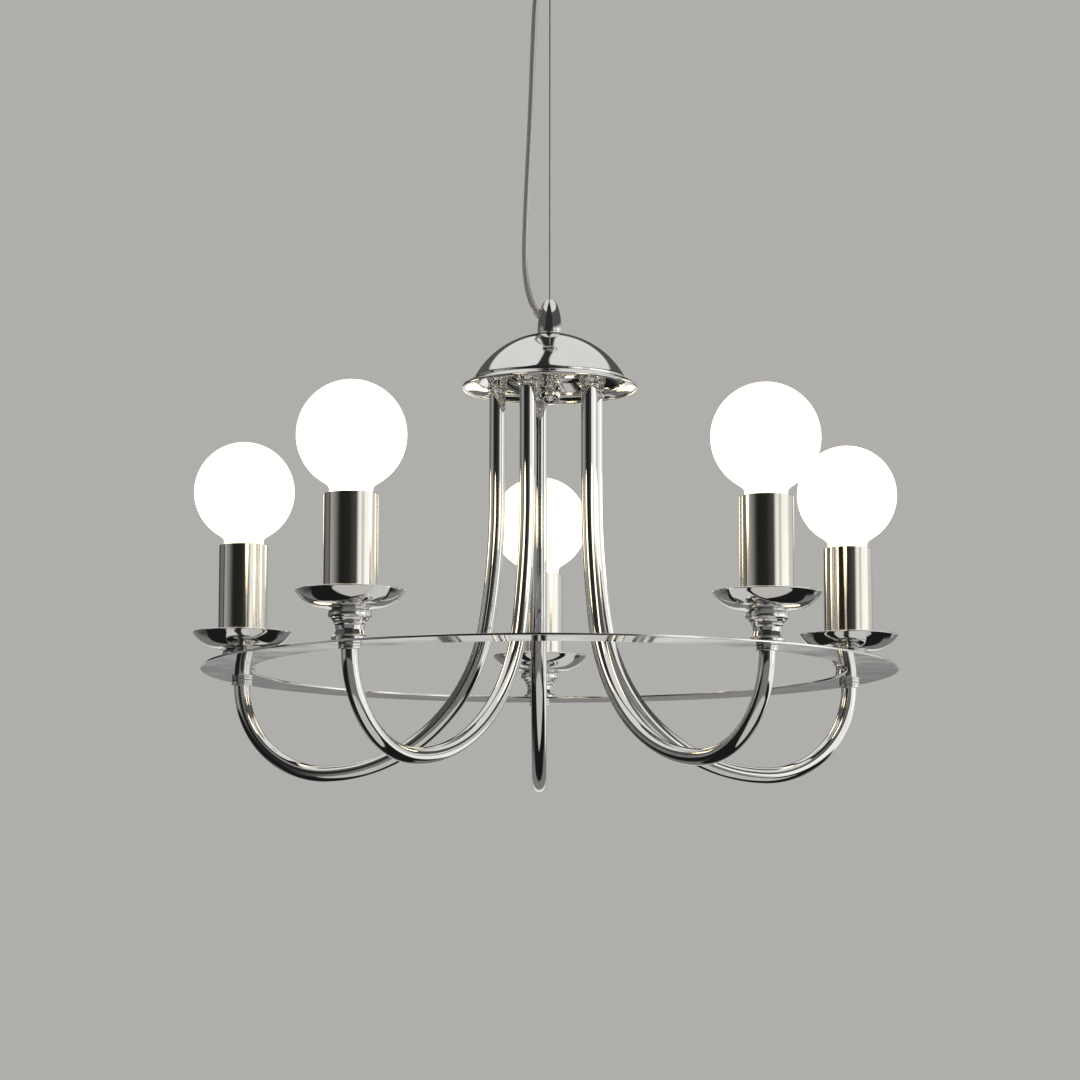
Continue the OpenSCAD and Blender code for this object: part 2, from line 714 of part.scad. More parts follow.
// Link: two tongues a quarter turn apart
module hanger_link() {
  color("silver") difference() {
    union() {
      translate([-tongue_w / 2, 0, upper_pin_z]) rotate([0, 90, 0]) cylinder(r = ear_r, h = tongue_w);
      translate([0, -tongue_w / 2, lower_pin_z]) rotate([-90, 0, 0]) cylinder(r = ear_r, h = tongue_w);
      translate([-tongue_w / 2, -tongue_w / 2, lower_pin_z]) cube([tongue_w, tongue_w, pin_pitch]);
    }
    translate([-ear_r, 0, upper_pin_z]) rotate([0, 90, 0]) cylinder(r = pin_r + running_gap, h = 2 * ear_r);
    translate([0, -ear_r, lower_pin_z]) rotate([-90, 0, 0]) cylinder(r = pin_r + running_gap, h = 2 * ear_r);
  }
}

// Swivel eye: fork on the lower pin, base that the wire's ball end turns in
module swivel_eye() {
  color("silver") union() {
    rotate([0, 0, 90]) ears(lower_pin_z, eye_base_z + eye_base_t);
    difference() {
      translate([-ear_r, -ear_out, eye_base_z]) cube([2 * ear_r, 2 * ear_out, eye_base_t]);
      translate([0, 0, eye_base_z - over]) cylinder(r = ball_neck_r + running_gap, h = eye_base_t + 2 * over);
    }
  }
}

// Bracket: round plate on the ceiling, ears for the hanger and two tabs for the cup's screws
module ceiling_bracket() {
  color("lightgray") union() {
    difference() {
      translate([0, 0, -plate_t]) cylinder(r = plate_r, h = plate_t);
      for (side = [-1, 1]) translate([side * fixing_spacing / 2, 0, -plate_t - over])
        cylinder(d = fixing_d, h = plate_t + 2 * over);
      translate([0, cable_hole_y, -plate_t - over]) cylinder(r = cable_hole_r, h = plate_t + 2 * over);
    }
    ears(upper_pin_z, -plate_t);
    for (turn = [0, 180]) rotate([0, 0, turn]) difference() {
      translate([-tab_w / 2, tab_out_y - tab_t, -plate_t - tab_h]) cube([tab_w, tab_t, tab_h]);
      translate([0, 0, cup_screw_z]) rotate([-90, 0, 0]) cylinder(r = cup_screw_r, h = plate_r);
    }
  }
}

module supply_block() {
  size = supply_size;
  color("ivory") translate([-size[0] / 2, supply_y, -plate_t - size[2]]) difference() {
    cube(size);
    for (k = [0:2]) translate([size[0] * (k + 0.5) / 3, -over, size[2] / 2])
      rotate([-90, 0, 0]) cylinder(d = terminal_hole_d, h = size[1] + 2 * over);
  }
}

// Spun cup against the ceiling, a half ellipse with an outlet at its lowest point
module ceiling_cup() {
  r = rose_d / 2;
  in_r = r - rose_t;
  in_h = rose_h - rose_t;
  color("gainsboro") difference() {
    turned(concat(
      arc(0, 0, r, rose_h, 0, -acos(outlet_hole_r / r), 18),
      reversed(arc(0, 0, in_r, in_h, 0, -acos(outlet_hole_r / in_r), 18))));
    for (turn = [0, 180]) rotate([0, 0, turn]) translate([0, 0, cup_screw_z])
      rotate([-90, 0, 0]) cylinder(r = cup_screw_r + push_gap, h = rose_d);
  }
}

module outlet_bush() {
  color("white") translate([0, 0, outlet_seat_z]) {
    translate([0, 0, -outlet_flange_t]) tube(outlet_r + outlet_wall + outlet_flange, outlet_r, outlet_flange_t);
    tube(outlet_r + outlet_wall, outlet_r, outlet_inside_l);
  }
}

module cup_screws() {
  tip_y = tab_out_y - cup_screw_grip;
  seat_y = rose_d / 2;
  color("silver") for (turn = [0, 180]) rotate([0, 0, turn]) translate([0, tip_y, cup_screw_z])
    rotate([-90, 0, 0]) {
      cylinder(r = cup_screw_r, h = seat_y - tip_y);
      translate([0, 0, seat_y - tip_y]) cylinder(r = cup_screw_head_r, h = cup_screw_head_t);
    }
}

for (i = ARMS) {
  arm(i);
  vase(i);
  dish(i);
  candle_sleeve(i);
  lamp_glass(i);
  lamp_cap(i);
}
ring();
ring_collars();
root_collars();
threaded_nipples();
hexagon_nuts();
lampholders();
screw_shells();
centre_contacts();
arm_leads();
hub_plate();
stem();
finial();
junction_block();
dome();
bullet_cap();
cord_bush();
wire_ends();
suspension_wire();
power_cord();
swivel_eye();
lower_pin();
hanger_link();
upper_pin();
ceiling_bracket();
supply_block();
ceiling_cup();
outlet_bush();
cup_screws();
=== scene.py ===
import math

import bpy
from mathutils import Matrix, Vector


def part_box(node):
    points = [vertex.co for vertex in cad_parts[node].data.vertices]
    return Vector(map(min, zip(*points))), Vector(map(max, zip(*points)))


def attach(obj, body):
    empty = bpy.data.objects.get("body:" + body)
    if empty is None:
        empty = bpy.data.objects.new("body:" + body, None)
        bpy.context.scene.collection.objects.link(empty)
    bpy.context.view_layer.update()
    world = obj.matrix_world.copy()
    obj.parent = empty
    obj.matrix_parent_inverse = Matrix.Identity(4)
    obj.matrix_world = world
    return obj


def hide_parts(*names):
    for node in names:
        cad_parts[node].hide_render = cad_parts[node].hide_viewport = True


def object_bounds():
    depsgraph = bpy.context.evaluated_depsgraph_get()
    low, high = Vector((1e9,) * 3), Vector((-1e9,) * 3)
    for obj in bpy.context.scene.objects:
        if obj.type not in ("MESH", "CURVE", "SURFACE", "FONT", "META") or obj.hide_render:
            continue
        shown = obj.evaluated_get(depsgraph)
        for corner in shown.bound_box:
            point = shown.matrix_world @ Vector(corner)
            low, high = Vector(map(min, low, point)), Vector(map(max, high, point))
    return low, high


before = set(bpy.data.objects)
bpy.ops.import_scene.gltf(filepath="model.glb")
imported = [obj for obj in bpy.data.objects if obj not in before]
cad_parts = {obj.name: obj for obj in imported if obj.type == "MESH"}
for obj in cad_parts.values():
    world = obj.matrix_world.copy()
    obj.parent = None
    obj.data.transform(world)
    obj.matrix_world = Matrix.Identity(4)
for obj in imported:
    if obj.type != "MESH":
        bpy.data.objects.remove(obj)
cadLow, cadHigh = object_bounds()
print("frame loaded, box", [round(v, 4) for v in (*cadLow, *cadHigh)])

# heights are taken from the underside of the flat ring, in metres
ringLow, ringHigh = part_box("ring")
ringZ = ringLow.z

camera = dict(back=3.185, side=0.001, below=0.3085, pitch=7.71, yaw=0.17, roll=-0.06, lens=115.85)
camData = bpy.data.cameras.new("studioCamera")
camData.lens = camera["lens"]
camData.sensor_width = 36
camData.clip_start, camData.clip_end = 0.1, 100
cam = bpy.data.objects.new("studioCamera", camData)
cam.location = (camera["side"], -camera["back"], ringZ - camera["below"])
cam.rotation_euler = [math.radians(a) for a in (90 + camera["pitch"], camera["roll"], camera["yaw"])]
bpy.context.scene.collection.objects.link(cam)
bpy.context.scene.camera = cam

# the arms stand on five planes, each a little to one side of the middle
arm1Low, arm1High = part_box("arm_1")
tubeR = (arm1High.x - arm1Low.x) / 2
layout = dict(
    arms=5,
    firstAzimuth=90,
    offset=-(arm1Low.x + arm1High.x) / 2,
    lampCircle=arm1High.y - tubeR,
    rootCircle=arm1Low.y + tubeR - 0.0001,   # the leg is a hair thinner than the bend
    bellyDepth=ringZ - arm1Low.z - tubeR,
    topZ=arm1High.z - ringZ,
)
armNumbers = range(1, layout["arms"] + 1)


def armPlace(number, along=0.0):
    # turns x out along the arm and puts z = 0 at the underside of the ring
    turn = math.radians(layout["firstAzimuth"] + 360 / layout["arms"] * (number - 1))
    spin = Matrix.Rotation(turn, 4, "Z")
    return Matrix.Translation((0, 0, ringZ)) @ spin @ Matrix.Translation((along, layout["offset"], 0))


def meshPiece(name, verts, faces, sharpAngle=38):
    mesh = bpy.data.meshes.new(name)
    mesh.from_pydata([tuple(v) for v in verts], [], faces)
    mesh.validate()
    mesh.polygons.foreach_set("use_smooth", [True] * len(mesh.polygons))
    mesh.set_sharp_from_angle(angle=math.radians(sharpAngle))
    piece = bpy.data.objects.new(name, mesh)
    bpy.context.scene.collection.objects.link(piece)
    return piece


def arc(cx, cz, radiusX, radiusZ, start, end, steps):
    points = []
    for k in range(steps + 1):
        a = math.radians(start + (end - start) * k / steps)
        points.append((cx + radiusX * math.cos(a), cz + radiusZ * math.sin(a)))
    return points


def soften(outline, radius, steps=4, closed=True):
    # rounds every corner of an outline; a point may carry its own radius as a third number,
    # and a point just outside each rounding keeps a long side flat
    share, straight, longSide, support = 0.48, math.radians(86), 0.003, 0.0002
    points = []
    count = len(outline)
    for k, here in enumerate(outline):
        own = here[2] if len(here) > 2 else radius
        p = Vector(here[:2])
        if not closed and k in (0, count - 1):
            points.append((p.x, p.y))
            continue
        before = Vector(outline[k - 1][:2]) - p
        after = Vector(outline[(k + 1) % count][:2]) - p
        reach = min(before.length, after.length) * share
        if own <= 0 or reach < 1e-6:
            points.append((p.x, p.y))
            continue
        half = before.angle(after) / 2
        if half > straight:
            points.append((p.x, p.y))
            continue
        cut = min(own / math.tan(half), reach)
        a, b = p + before.normalized() * cut, p + after.normalized() * cut
        if before.length > longSide:
            points.append(tuple(a + before.normalized() * support))
        for s in range(steps + 1):
            t = s / steps
            q = a * (1 - t) ** 2 + p * 2 * t * (1 - t) + b * t * t
            points.append((q.x, q.y))
        if after.length > longSide:
            points.append(tuple(b + after.normalized() * support))
    return points


def lathe(name, outline, steps=96, closed=True, sharpAngle=38):
    # outline is (radius, height) going round the section; radius 0 makes a pole
    verts, faces, rings = [], [], []
    for r, z in outline:
        if r < 1e-7:
            rings.append([len(verts)])
            verts.append((0, 0, z))
            continue
        rings.append([len(verts) + s for s in range(steps)])
        for s in range(steps):
            a = 2 * math.pi * s / steps
            verts.append((r * math.cos(a), r * math.sin(a), z))
    pairs = list(zip(rings, rings[1:]))
    if closed:
        pairs.append((rings[-1], rings[0]))
    for low, high in pairs:
        if len(low) == 1 and len(high) == 1:
            continue
        for s in range(steps):
            t = (s + 1) % steps
            if len(low) == 1:
                faces.append((low[0], high[t], high[s]))
            elif len(high) == 1:
                faces.append((low[s], low[t], high[0]))
            else:
                faces.append((low[s], low[t], high[t], high[s]))
    area = sum(a[0] * b[1] - b[0] * a[1] for a, b in zip(outline, outline[1:] + outline[:1]))
    if area < 0:
        faces = [tuple(reversed(f)) for f in faces]
    return meshPiece(name, verts, faces, sharpAngle)


def sweep(name, path, radius, sides=32, lobes=0, lobeDepth=0.0, lobeTurns=0.0):
    # round bar along a path, its ends closed; lobes twist round it like the strands of a wire
    verts, faces = [], []
    side = None
    for k, p in enumerate(path):
        ahead = path[min(k + 1, len(path) - 1)] - path[max(k - 1, 0)]
        ahead.normalize()
        if side is None:
            side = ahead.orthogonal().normalized()
        side = (side - ahead * side.dot(ahead)).normalized()
        up = ahead.cross(side)
        twist = 2 * math.pi * lobeTurns * k / (len(path) - 1)
        for s in range(sides):
            a = 2 * math.pi * s / sides
            r = radius
            if lobes:
                r = radius * (1 - lobeDepth * (1 - abs(math.sin(lobes * (a + twist) / 2))))
            verts.append(p + (side * math.cos(a) + up * math.sin(a)) * r)
    for k in range(len(path) - 1):
        for s in range(sides):
            t = (s + 1) % sides
            faces.append((k * sides + s, k * sides + t, (k + 1) * sides + t, (k + 1) * sides + s))
    faces.append(tuple(reversed(range(sides))))
    faces.append(tuple((len(path) - 1) * sides + s for s in range(sides)))
    return meshPiece(name, verts, faces, 60)


def smoothPath(points, perSpan=8):
    # a smooth curve through given points
    path = []
    last = len(points) - 1
    for k in range(last):
        p0, p1 = points[max(k - 1, 0)], points[k]
        p2, p3 = points[k + 1], points[min(k + 2, last)]
        for s in range(perSpan):
            t = s / perSpan
            path.append(0.5 * (2 * p1 + (p2 - p0) * t + (2 * p0 - 5 * p1 + 4 * p2 - p3) * t * t
                               + (3 * p1 - p0 - 3 * p2 + p3) * t ** 3))
    path.append(points[last].copy())
    return path


def finishPiece(piece, body, material, nodes, place=None):
    # the piece is set at the given place, given its material and hung on the body; the named CAD nodes it
    # stands in for are hidden
    if place is not None:
        piece.matrix_world = place
    piece.data.materials.clear()
    piece.data.materials.append(material)
    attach(piece, body)
    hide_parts(*nodes)


def newMaterial(name):
    material = bpy.data.materials.new(name)
    material.use_nodes = True
    tree = material.node_tree
    shader = tree.nodes["Principled BSDF"]
    return material, tree, shader


def placeNodes(tree, scale=(1, 1, 1)):
    # object coordinates shifted by each piece's own place, so that no two pieces match
    coords = tree.nodes.new("ShaderNodeTexCoord")
    info = tree.nodes.new("ShaderNodeObjectInfo")
    shift = tree.nodes.new("ShaderNodeVectorMath")
    shift.operation = "ADD"
    tree.links.new(coords.outputs["Object"], shift.inputs[0])
    tree.links.new(info.outputs["Location"], shift.inputs[1])
    mapping = tree.nodes.new("ShaderNodeMapping")
    mapping.inputs["Scale"].default_value = scale
    tree.links.new(shift.outputs["Vector"], mapping.inputs["Vector"])
    return mapping.outputs["Vector"]


def noiseNode(tree, vector, scale, detail=3.0, roughness=0.55):
    node = tree.nodes.new("ShaderNodeTexNoise")
    node.inputs["Scale"].default_value = scale
    node.inputs["Detail"].default_value = detail
    node.inputs["Roughness"].default_value = roughness
    tree.links.new(vector, node.inputs["Vector"])
    return node.outputs["Fac"]


def spread(tree, value, low, high, start=0.3, end=0.7):
    node = tree.nodes.new("ShaderNodeMapRange")
    node.inputs["From Min"].default_value = start
    node.inputs["From Max"].default_value = end
    node.inputs["To Min"].default_value = low
    node.inputs["To Max"].default_value = high
    tree.links.new(value, node.inputs["Value"])
    return node.outputs["Result"]


def tint(tree, value, first, second, start=0.3, end=0.7):
    ramp = tree.nodes.new("ShaderNodeValToRGB")
    ramp.color_ramp.elements[0].position = start
    ramp.color_ramp.elements[0].color = (*first, 1)
    ramp.color_ramp.elements[1].position = end
    ramp.color_ramp.elements[1].color = (*second, 1)
    tree.links.new(value, ramp.inputs["Fac"])
    return ramp.outputs["Color"]


def bump(tree, shader, value, distance, strength=0.3, under=None):
    node = tree.nodes.new("ShaderNodeBump")
    node.inputs["Strength"].default_value = strength
    node.inputs["Distance"].default_value = distance
    tree.links.new(value, node.inputs["Height"])
    if under is not None:
        tree.links.new(under, node.inputs["Normal"])
    tree.links.new(node.outputs["Normal"], shader.inputs["Normal"])
    return node.outputs["Normal"]


def plainMetal(name, light, dark, roughLow, roughHigh, grain=(1, 1, 1), grainScale=900, waviness=0.0,
               brushed=0.0, grainDepth=0.00002):
    # metal with wiping marks, fine grain and, where asked, the slow waviness of a polished tube
    material, tree, shader = newMaterial(name)
    shader.inputs["Metallic"].default_value = 1.0
    shader.inputs["Anisotropic"].default_value = brushed
    shader.inputs["Anisotropic Rotation"].default_value = 0.25
    place = placeNodes(tree)
    smudge = noiseNode(tree, place, 28, 4, 0.6)
    fine = noiseNode(tree, placeNodes(tree, grain), grainScale, 4, 0.7)
    tree.links.new(tint(tree, smudge, light, dark), shader.inputs["Base Color"])
    mixed = tree.nodes.new("ShaderNodeMath")
    mixed.operation = "ADD"
    tree.links.new(spread(tree, smudge, roughLow, roughHigh, 0.35, 0.75), mixed.inputs[0])
    tree.links.new(spread(tree, fine, 0, (roughHigh - roughLow) * 0.5), mixed.inputs[1])
    tree.links.new(mixed.outputs[0], shader.inputs["Roughness"])
    slow = None
    if waviness:
        slow = bump(tree, shader, noiseNode(tree, place, 14, 1, 0.4), waviness, 1.0)
    bump(tree, shader, fine, grainDepth, 0.12, slow)
    return material


def plainPlastic(name, light, dark, roughness, grainScale=1400, coat=0.0):
    material, tree, shader = newMaterial(name)
    shader.inputs["Coat Weight"].default_value = coat
    place = placeNodes(tree)
    cloud = noiseNode(tree, place, 60, 3)
    fine = noiseNode(tree, place, grainScale, 3)
    tree.links.new(tint(tree, cloud, light, dark), shader.inputs["Base Color"])
    tree.links.new(spread(tree, fine, roughness * 0.85, roughness * 1.2), shader.inputs["Roughness"])
    bump(tree, shader, fine, 0.00004, 0.2)
    return material


polishedChrome = plainMetal("polishedChrome", (0.83, 0.83, 0.82), (0.79, 0.79, 0.78), 0.025, 0.06,
                            waviness=0.00012, grainDepth=0.000008)
turnedChrome = plainMetal("turnedChrome", (0.82, 0.82, 0.81), (0.76, 0.76, 0.75), 0.02, 0.05,
                          grain=(6, 6, 60), grainScale=160, grainDepth=0.000008)
satinNickel = plainMetal("satinNickel", (0.80, 0.77, 0.72), (0.76, 0.73, 0.68), 0.09, 0.13, grain=(1, 1, 40),
                         grainScale=220, brushed=0.7, grainDepth=0.000006)
wireSteel = plainMetal("wireSteel", (0.62, 0.62, 0.61), (0.48, 0.48, 0.47), 0.25, 0.4)
zincSteel = plainMetal("zincSteel", (0.63, 0.64, 0.66), (0.55, 0.56, 0.57), 0.24, 0.38, grainScale=500)
turnedBrass = plainMetal("turnedBrass", (0.80, 0.62, 0.32), (0.66, 0.48, 0.22), 0.2, 0.34, grain=(1, 1, 30))
capMetal = plainMetal("capMetal", (0.74, 0.74, 0.73), (0.60, 0.60, 0.58), 0.2, 0.36)
holderCeramic = plainPlastic("holderCeramic", (0.86, 0.84, 0.78), (0.78, 0.76, 0.70), 0.16, coat=0.6)
terminalPlastic = plainPlastic("terminalPlastic", (0.86, 0.85, 0.80), (0.80, 0.79, 0.73), 0.4)
clearBush = plainPlastic("clearBush", (0.60, 0.61, 0.61), (0.52, 0.53, 0.53), 0.2, coat=0.3)
leadSilicone = plainPlastic("leadSilicone", (0.84, 0.84, 0.82), (0.78, 0.78, 0.75), 0.45)


def makeOpalGlass():
    glow = dict(middle=(1.0, 0.84, 0.56), edge=(1.0, 0.78, 0.48), strength=2.5)
    material, tree, shader = newMaterial("opalGlass")
    place = placeNodes(tree)
    cloud = noiseNode(tree, place, 20, 2)
    tree.links.new(tint(tree, cloud, (0.93, 0.92, 0.89), (0.89, 0.875, 0.84)), shader.inputs["Base Color"])
    tree.links.new(spread(tree, noiseNode(tree, place, 90, 3), 0.06, 0.12), shader.inputs["Roughness"])
    facing = tree.nodes.new("ShaderNodeLayerWeight")
    facing.inputs["Blend"].default_value = 0.35
    tree.links.new(tint(tree, facing.outputs["Facing"], glow["middle"], glow["edge"], 0.25, 0.97),
                   shader.inputs["Emission Color"])
    shader.inputs["Emission Strength"].default_value = glow["strength"]
    bump(tree, shader, noiseNode(tree, place, 35, 1), 0.0001, 0.25)
    return material


def makeCordJacket():
    # clear jacket over a silver braid: crossed fine bands under a glossy coat
    material, tree, shader = newMaterial("cordJacket")
    shader.inputs["Metallic"].default_value = 0.55
    shader.inputs["Coat Weight"].default_value = 0.8
    shader.inputs["Coat Roughness"].default_value = 0.08
    coords = tree.nodes.new("ShaderNodeTexCoord")
    bands = []
    for turn in (38, -38):   # degrees between each band and the cord
        mapping = tree.nodes.new("ShaderNodeMapping")
        mapping.inputs["Rotation"].default_value = (0, math.radians(turn), 0)
        tree.links.new(coords.outputs["Object"], mapping.inputs["Vector"])
        wave = tree.nodes.new("ShaderNodeTexWave")
        wave.bands_direction = "Z"
        wave.inputs["Scale"].default_value = 320
        wave.inputs["Distortion"].default_value = 0.4
        tree.links.new(mapping.outputs["Vector"], wave.inputs["Vector"])
        bands.append(wave.outputs["Fac"])
    braid = tree.nodes.new("ShaderNodeMath")
    braid.operation = "MAXIMUM"
    tree.links.new(bands[0], braid.inputs[0])
    tree.links.new(bands[1], braid.inputs[1])
    tree.links.new(tint(tree, braid.outputs[0], (0.56, 0.56, 0.55), (0.84, 0.84, 0.83), 0.3, 0.95),
                   shader.inputs["Base Color"])
    tree.links.new(spread(tree, braid.outputs[0], 0.42, 0.28), shader.inputs["Roughness"])
    bump(tree, shader, braid.outputs[0], 0.0001, 0.25)
    return material


opalGlass = makeOpalGlass()
cordJacket = makeCordJacket()
print("materials made")


def makePowerCord():
    # from the bush in the bullet cap up to the ceiling cup, in millimetres across and above the ring
    route = dict(
        radius=0.00275,
        points=[
            (-8, 332), (-10, 335), (-13, 339.5), (-16, 344.5), (-18.5, 351), (-20.5, 358.5), (-22, 368),
            (-23, 378), (-23.4, 390), (-23.2, 405), (-22.7, 422), (-22, 440), (-21.2, 459), (-20.3, 478),
            (-19.3, 498), (-18.4, 518), (-17.6, 538), (-16.9, 558), (-16.2, 578), (-15.5, 596),
            (-14.8, 614), (-14, 630), (-12.8, 642), (-11.4, 652), (-10.4, 659), (-10, 664)],
    )
    points = [Vector((x / 1000, 0, ringZ + z / 1000)) for x, z in route["points"]]
    path = smoothPath(points, 6)
    cord = sweep("powerCord", path, route["radius"], 24)
    finishPiece(cord, "pendant", cordJacket, ["power_cord"])


def makeSuspensionWire():
    low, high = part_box("suspension_wire")
    radius = (high.x - low.x) / 2
    length = high.z - low.z
    strand = dict(count=6, depth=0.16, lay=0.011, steps=420)
    steps = strand["steps"]
    path = [Vector((0, 0, low.z + length * k / steps)) for k in range(steps + 1)]
    wire = sweep("suspensionWire", path, radius, 24, strand["count"], strand["depth"], length / strand["lay"])
    finishPiece(wire, "pendant", wireSteel, ["suspension_wire"])


makePowerCord()
makeSuspensionWire()
print("cord and wire made")


def makeArms():
    bend = dict(hookR=0.086, leanR=0.700, leanAngle=10, spacing=0.0025, legSteps=8, sides=96, endGap=0.0002)
    lean = math.radians(bend["leanAngle"])
    bellyR = layout["lampCircle"] - bend["hookR"]
    sweepR = (bellyR - layout["rootCircle"] - bend["leanR"] * (1 - math.cos(lean))) / math.cos(lean)
    sweepZ = sweepR - layout["bellyDepth"]
    hookZ = bend["hookR"] - layout["bellyDepth"]
    leanZ = sweepZ - sweepR * math.sin(lean) + bend["leanR"] * math.sin(lean)

    def run(cx, cz, radius, start, end):
        steps = max(4, int(radius * math.radians(abs(end - start)) / bend["spacing"]))
        return arc(cx, cz, radius, radius, start, end, steps)

    outline = [(layout["rootCircle"], layout["topZ"] + (leanZ - layout["topZ"]) * k / bend["legSteps"])
               for k in range(bend["legSteps"])]
    outline += run(layout["rootCircle"] + bend["leanR"], leanZ, bend["leanR"], 180, 180 + bend["leanAngle"])
    outline += run(bellyR, sweepZ, sweepR, 180 + bend["leanAngle"], 270)[1:]
    outline += run(bellyR, hookZ, bend["hookR"], 270, 360)[1:]
    outline.append((layout["lampCircle"], -bend["endGap"]))
    path = [Vector((x, 0, z)) for x, z in outline]
    for number in armNumbers:
        arm = sweep(f"arm{number}", path, tubeR, bend["sides"])
        finishPiece(arm, "pendant", polishedChrome, [f"arm_{number}"], armPlace(number))


def makeRing():
    outerR = (ringHigh.x - ringLow.x) / 2
    edge = dict(width=0.047, round=0.0004)
    thick = ringHigh.z - ringLow.z
    innerR = outerR - edge["width"]
    outline = soften([(innerR, 0), (outerR, 0), (outerR, thick), (innerR, thick)], edge["round"], 4)
    ring = lathe("flatRing", outline, 360, sharpAngle=60)
    finishPiece(ring, "pendant", polishedChrome, ["ring"],
                Matrix.Translation((0, 0, ringZ)))


def makeCollars():
    under = dict(radius=0.010, groove=0.0006, height=0.005, lip=0.0005)
    root = dict(radius=0.010, waist=0.0086, height=0.019)
    bore = tubeR + 0.00005
    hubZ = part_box("hub_plate")[0].z - ringZ
    for number in armNumbers:
        wide, foot, inset = under["radius"], -under["height"], under["radius"] - under["groove"]
        ringOutline = [(bore, foot), (wide, foot), (wide, foot * 0.62, 0.0001), (inset, foot * 0.56, 0.0001),
                       (inset, foot * 0.46, 0.0001), (wide, foot * 0.40, 0.0001), (wide, 0), (bore, 0)]
        collar = lathe(f"ringCollar{number}", soften(ringOutline, under["lip"], 4), 72)
        finishPiece(collar, "pendant", turnedChrome, ["ring_collars"],
                    armPlace(number, layout["lampCircle"]))
        r, w, z = root["radius"], root["waist"], hubZ - root["height"]
        outline = [(bore, z), (r - 0.0012, z, 0.0006), (r - 0.0002, z + 0.0012, 0.001),
                   (r - 0.0012, z + 0.0026, 0.0006), (w, z + 0.0030, 0.0003), (w, z + 0.0052, 0.0006),
                   (r - 0.0008, z + 0.0058, 0.0003),
                   (r - 0.0008, z + 0.0072, 0.0003), (w, z + 0.0078, 0.0006), (w, z + 0.0118, 0.001),
                   (r - 0.0002, z + 0.0132, 0.0005), (r, z + 0.0146, 0.0006), (r, z + root["height"]),
                   (bore, z + root["height"])]
        rootCollar = lathe(f"rootCollar{number}", soften(outline, 0.0004, 4), 72)
        finishPiece(rootCollar, "pendant", turnedChrome, ["root_collars"],
                    armPlace(number, layout["rootCircle"]))


makeArms()
makeRing()
makeCollars()
print("arms, ring and collars made")


def makeVases():
    low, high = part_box("vase_1")
    base, height = low.z - ringZ, high.z - low.z
    bore, drawn = 0.0051, 0.029   # height the turning below is drawn at
    topR = (high.x - low.x) / 2
    turning = [
        (bore, 0, 0), (0.0152, 0, 0.0006), (0.0160, 0.0010, 0.0006), (0.0160, 0.0034, 0.0008),
        (0.0148, 0.0046, 0.0006), (0.0132, 0.0052, 0.0003), (0.0130, 0.0066, 0.0012),
        (0.0124, 0.0100, 0.004), (0.0128, 0.0138, 0.002), (0.0136, 0.0150, 0.0004),
        (0.0148, 0.0152, 0.0003), (0.0148, 0.0162, 0.0003), (0.0140, 0.0166, 0.0003),
        (0.0142, 0.0172, 0.0003), (0.0158, 0.0184, 0.0008), (0.0166, 0.0200, 0.0004),
        (0.0176, 0.0203, 0.0003), (0.0188, 0.0216, 0.0010), (topR, 0.0232, 0.0008),
        (topR, 0.0246, 0.0004), (topR - 0.0008, 0.0250, 0.0003), (topR, 0.0254, 0.0004),
        (0.0186, 0.0268, 0.0008), (0.0172, 0.0276, 0.0005), (0.0160, 0.0279, 0.0003),
        (0.0160, drawn, 0.0003), (bore, drawn, 0)]
    outline = [(r, base + z * height / drawn, c) for r, z, c in turning]
    for number in armNumbers:
        vase = lathe(f"vase{number}", soften(outline, 0, 4), 96)
        finishPiece(vase, "pendant", turnedChrome, [f"vase_{number}"],
                    armPlace(number, layout["lampCircle"]))


def makeDishes():
    low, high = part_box("dish_1")
    dish = dict(footR=0.020, seatR=0.025, wall=0.0012, bore=0.0051, rimBead=0.0008)
    base = low.z - ringZ
    radius, depth = (high.x - low.x) / 2, high.z - low.z
    run = radius - dish["footR"]
    curveR = (run * run + depth * depth) / (2 * depth)
    end = math.degrees(math.asin(run / curveR)) - 90
    innerR = curveR - dish["wall"]
    seat = math.degrees(math.asin((dish["seatR"] - dish["footR"]) / innerR)) - 90
    outer = arc(dish["footR"], base + curveR, curveR, curveR, -90, end, 20)
    inner = arc(dish["footR"], base + curveR, innerR, innerR, seat, end, 18)
    a, b = Vector(outer[-1]), Vector(inner[-1])
    middle = (a + b) / 2
    lead = math.degrees(math.atan2(a.y - b.y, a.x - b.x))
    rim = arc(middle.x, middle.y, dish["rimBead"], dish["rimBead"], lead - 25, lead + 205, 10)
    outline = [(dish["bore"], base)] + outer[:-1] + rim + list(reversed(inner[:-1]))
    outline += [(dish["seatR"], base + dish["wall"]), (dish["bore"], base + dish["wall"])]
    for number in armNumbers:
        piece = lathe(f"dish{number}", outline, 144)
        finishPiece(piece, "pendant", polishedChrome, [f"dish_{number}"],
                    armPlace(number, layout["lampCircle"]))


def makeCandleSleeves():
    low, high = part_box("candle_sleeve_1")
    sleeve = dict(wall=0.0012, lip=0.0005)
    radius, base, top = (high.x - low.x) / 2, low.z - ringZ, high.z - ringZ
    inner = radius - sleeve["wall"]
    outline = soften([(inner, base), (radius, base), (radius, top), (inner, top)], sleeve["lip"], 5)
    for number in armNumbers:
        piece = lathe(f"candleSleeve{number}", outline, 128)
        finishPiece(piece, "pendant", satinNickel, [f"candle_sleeve_{number}"],
                    armPlace(number, layout["lampCircle"]))


